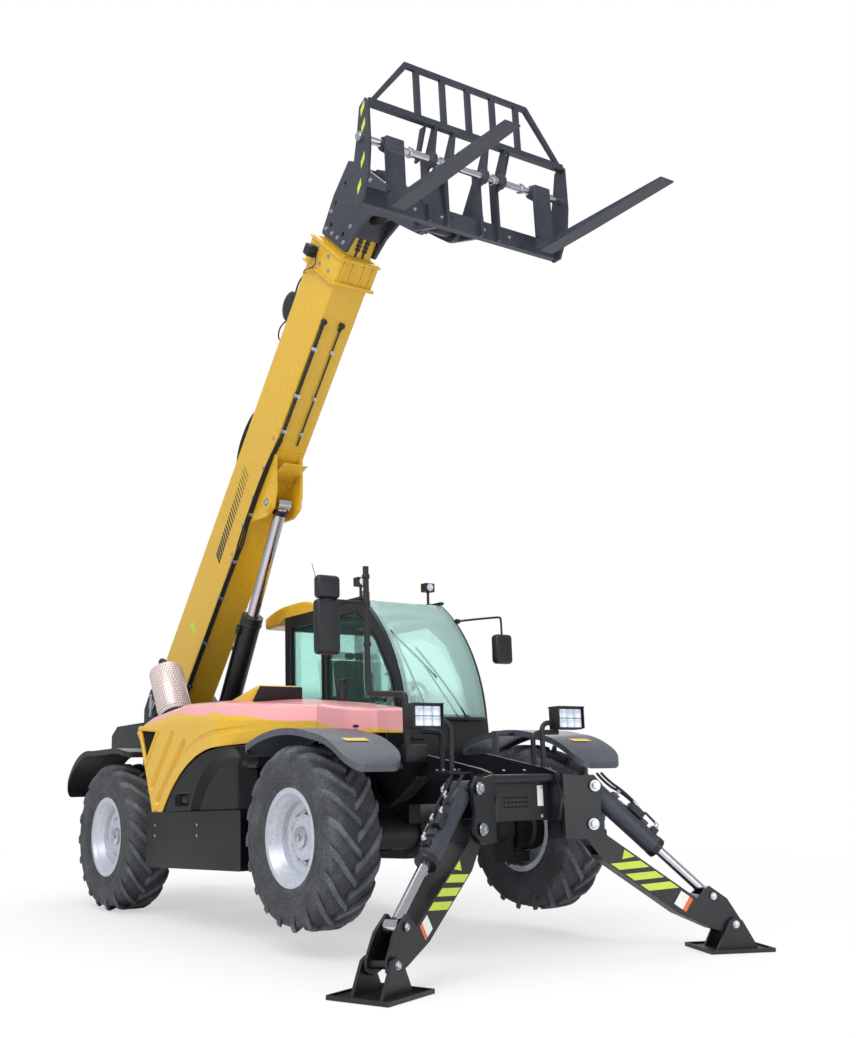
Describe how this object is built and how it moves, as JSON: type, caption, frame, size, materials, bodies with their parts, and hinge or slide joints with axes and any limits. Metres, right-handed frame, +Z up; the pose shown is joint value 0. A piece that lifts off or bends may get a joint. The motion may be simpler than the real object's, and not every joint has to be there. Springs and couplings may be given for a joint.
{
  "type": "telescopic handler",
  "caption": "Four-wheel telehandler with a raised telescopic boom, pallet forks, side cab and deployed front stabilisers.",
  "frame": {"origin": "ground plane, under the centre of the whole machine as it stands with its boom raised", "axes": "+X forward, +Y to its left, +Z up"},
  "size_m": [6.4217, 3.4566, 6.3348],
  "materials": {
    "black_frame": "semi-gloss powder coat",
    "black_sheet": "satin",
    "grey_plastic": "satin moulded",
    "yellow_paint": "gloss",
    "dark_grey_paint": "satin",
    "bright_steel": "polished",
    "glass": "tinted",
    "seat_fabric": "woven",
    "black_plastic": "moulded",
    "muffler_shield": "perforated",
    "tyre": "rubber",
    "silver_rim": "silver"
  },
  "bodies": {
    "chassis": {"chassis_frame": "black_frame", "pivot_pins": "bright_steel", "stabiliser_beam": "black_frame", "front_axle": "black_frame", "rear_axle": "black_frame", "engine_bay": "black_sheet", "engine_block": "black_frame", "hood_nose": "yellow_paint", "skirt_right": "black_sheet", "tank_left": "black_sheet", "front_fenders": "grey_plastic", "rear_fenders": "black_sheet", "rear_body": "black_frame", "counterweight": "black_frame", "muffler": "muffler_shield", "front_work_lights": "black_plastic", "mirrors": "black_plastic", "roof_lights": "black_plastic", "cab_frame": "black_frame", "cab_glass": "glass", "cab_roof": "yellow_paint", "seat_base": "black_frame", "driver_seat": "seat_fabric", "steering_column": "black_plastic"},
    "boom": {"boom_outer": "yellow_paint", "lift_bracket": "yellow_paint"},
    "middle_stage": {"boom_middle": "yellow_paint"},
    "inner_stage": {"boom_inner": "yellow_paint", "boom_head": "dark_grey_paint"},
    "carriage": {"carriage_frame": "dark_grey_paint", "fork_shaft": "bright_steel", "forks": "dark_grey_paint", "load_guard": "dark_grey_paint"},
    "lift_cylinder": {"lift_cylinder_barrel": "dark_grey_paint"},
    "lift_rod": {"lift_cylinder_rod": "bright_steel"},
    "door": {"cab_door": "black_frame", "door_glass": "glass"},
    "hood": {"engine_hood": "yellow_paint"},
    "leg_left": {"stabiliser_leg_left": "black_frame"},
    "foot_left": {"stabiliser_foot_left": "black_frame"},
    "leg_cylinder_left": {"leg_cylinder_barrel_left": "black_frame"},
    "leg_rod_left": {"leg_cylinder_rod_left": "bright_steel"},
    "leg_right": {"stabiliser_leg_right": "black_frame"},
    "foot_right": {"stabiliser_foot_right": "black_frame"},
    "leg_cylinder_right": {"leg_cylinder_barrel_right": "black_frame"},
    "leg_rod_right": {"leg_cylinder_rod_right": "bright_steel"},
    "knuckle_front_left": {"knuckle_front_left": "black_frame"},
    "wheel_front_left": {"tyre_front_left": "tyre", "rim_front_left": "silver_rim"},
    "knuckle_front_right": {"knuckle_front_right": "black_frame"},
    "wheel_front_right": {"tyre_front_right": "tyre", "rim_front_right": "silver_rim"},
    "knuckle_rear_left": {"knuckle_rear_left": "black_frame"},
    "wheel_rear_left": {"tyre_rear_left": "tyre", "rim_rear_left": "silver_rim"},
    "knuckle_rear_right": {"knuckle_rear_right": "black_frame"},
    "wheel_rear_right": {"tyre_rear_right": "tyre", "rim_rear_right": "silver_rim"}
  },
  "joints": [
    {"name": "boom_lift", "type": "hinge", "parent": "chassis", "child": "boom", "pos_m": [-2.84167, 0, 1.76649], "axis": [0, -1, 0], "range_deg": [-51.9, 19.1]},
    {"name": "boom_extend", "type": "slide", "parent": "boom", "child": "middle_stage", "axis": [0.6195, 0, 0.785], "range_m": [0, 3.65]},
    {"name": "boom_extend_inner", "type": "slide", "parent": "middle_stage", "child": "inner_stage", "axis": [0.6195, 0, 0.785], "range_m": [0, 3.65]},
    {"name": "carriage_tilt", "type": "hinge", "parent": "inner_stage", "child": "carriage", "pos_m": [1.47695, 0, 5.32269], "axis": [0, 1, 0], "range_deg": [-60, 60]},
    {"name": "lift_cylinder_swing", "type": "hinge", "parent": "chassis", "child": "lift_cylinder", "pos_m": [-2.25276, 0, 0.87457], "axis": [0, -1, 0], "range_deg": [-46.81, 17.29]},
    {"name": "lift_cylinder_stroke", "type": "slide", "parent": "lift_cylinder", "child": "lift_rod", "axis": [0.4662, 0, 0.8847], "range_m": [-0.9803, 0.362]},
    {"name": "stabiliser_left", "type": "hinge", "parent": "chassis", "child": "leg_left", "pos_m": [2.44057, 0.518, 0.84308], "axis": [-0.926, 0.3746, -0.0459], "range_deg": [-97, 0]},
    {"name": "foot_left", "type": "hinge", "parent": "leg_left", "child": "foot_left", "pos_m": [2.84443, 1.4336, 0.16823], "axis": [-0.926, 0.3746, -0.0459], "range_deg": [-20, 20]},
    {"name": "leg_cylinder_swing_left", "type": "hinge", "parent": "chassis", "child": "leg_cylinder_left", "pos_m": [2.43711, 0.54025, 1.09421], "axis": [-0.926, 0.3746, -0.0459], "range_deg": [-102.43, 0.1]},
    {"name": "leg_cylinder_stroke_left", "type": "slide", "parent": "leg_cylinder_left", "child": "leg_rod_left", "axis": [0.3093, 0.6836, -0.6611], "range_m": [-0.4083, 0.002]},
    {"name": "stabiliser_right", "type": "hinge", "parent": "chassis", "child": "leg_right", "pos_m": [2.44057, -0.518, 0.84308], "axis": [0.926, 0.3746, 0.0459], "range_deg": [-97, 0]},
    {"name": "foot_right", "type": "hinge", "parent": "leg_right", "child": "foot_right", "pos_m": [2.84443, -1.4336, 0.16823], "axis": [0.926, 0.3746, 0.0459], "range_deg": [-20, 20]},
    {"name": "leg_cylinder_swing_right", "type": "hinge", "parent": "chassis", "child": "leg_cylinder_right", "pos_m": [2.43711, -0.54025, 1.09421], "axis": [0.926, 0.3746, 0.0459], "range_deg": [-102.43, 0.1]},
    {"name": "leg_cylinder_stroke_right", "type": "slide", "parent": "leg_cylinder_right", "child": "leg_rod_right", "axis": [0.3093, -0.6836, -0.6611], "range_m": [-0.4083, 0.002]},
    {"name": "steer_front_left", "type": "hinge", "parent": "chassis", "child": "knuckle_front_left", "pos_m": [1.36318, 0.795, 0.7636], "axis": [-0.0495, 0, 0.9988], "range_deg": [-35, 35]},
    {"name": "wheel_front_left", "type": "hinge", "parent": "knuckle_front_left", "child": "wheel_front_left", "pos_m": [1.36318, 1, 0.7636], "axis": [0, 1, 0], "continuous": true},
    {"name": "steer_front_right", "type": "hinge", "parent": "chassis", "child": "knuckle_front_right", "pos_m": [1.36318, -0.795, 0.7636], "axis": [-0.0495, 0, 0.9988], "range_deg": [-35, 35]},
    {"name": "wheel_front_right", "type": "hinge", "parent": "knuckle_front_right", "child": "wheel_front_right", "pos_m": [1.36318, -1, 0.7636], "axis": [0, 1, 0], "continuous": true},
    {"name": "steer_rear_left", "type": "hinge", "parent": "chassis", "child": "knuckle_rear_left", "pos_m": [-1.73301, 0.795, 0.61], "axis": [-0.0495, 0, 0.9988], "range_deg": [-35, 35]},
    {"name": "wheel_rear_left", "type": "hinge", "parent": "knuckle_rear_left", "child": "wheel_rear_left", "pos_m": [-1.73301, 1, 0.61], "axis": [0, 1, 0], "continuous": true},
    {"name": "steer_rear_right", "type": "hinge", "parent": "chassis", "child": "knuckle_rear_right", "pos_m": [-1.73301, -0.795, 0.61], "axis": [-0.0495, 0, 0.9988], "range_deg": [-35, 35]},
    {"name": "wheel_rear_right", "type": "hinge", "parent": "knuckle_rear_right", "child": "wheel_rear_right", "pos_m": [-1.73301, -1, 0.61], "axis": [0, 1, 0], "continuous": true},
    {"name": "cab_door", "type": "hinge", "parent": "chassis", "child": "door", "pos_m": [-1.00997, 1.143, 1.73721], "axis": [-0.0495, 0, 0.9988], "range_deg": [0, 110]},
    {"name": "engine_hood", "type": "hinge", "parent": "chassis", "child": "hood", "pos_m": [-0.19121, -0.281, 1.82288], "axis": [-0.9988, 0, -0.0495], "range_deg": [0, 50]}
  ],
  "couplings": [
    {"joint": "boom_extend_inner", "follows": "boom_extend", "ratio": 1},
    {"joint": "lift_cylinder_swing", "follows": "boom_lift", "ratio": 0.9},
    {"joint": "lift_cylinder_stroke", "follows": "boom_lift", "m_per_rad": 1.08},
    {"joint": "leg_cylinder_swing_left", "follows": "stabiliser_left", "ratio": 1.055},
    {"joint": "leg_cylinder_stroke_left", "follows": "stabiliser_left", "m_per_rad": 0.24},
    {"joint": "leg_cylinder_swing_right", "follows": "stabiliser_right", "ratio": 1.055},
    {"joint": "leg_cylinder_stroke_right", "follows": "stabiliser_right", "m_per_rad": 0.24},
    {"joint": "steer_front_right", "follows": "steer_front_left", "ratio": 1},
    {"joint": "steer_rear_right", "follows": "steer_rear_left", "ratio": 1}
  ]
}
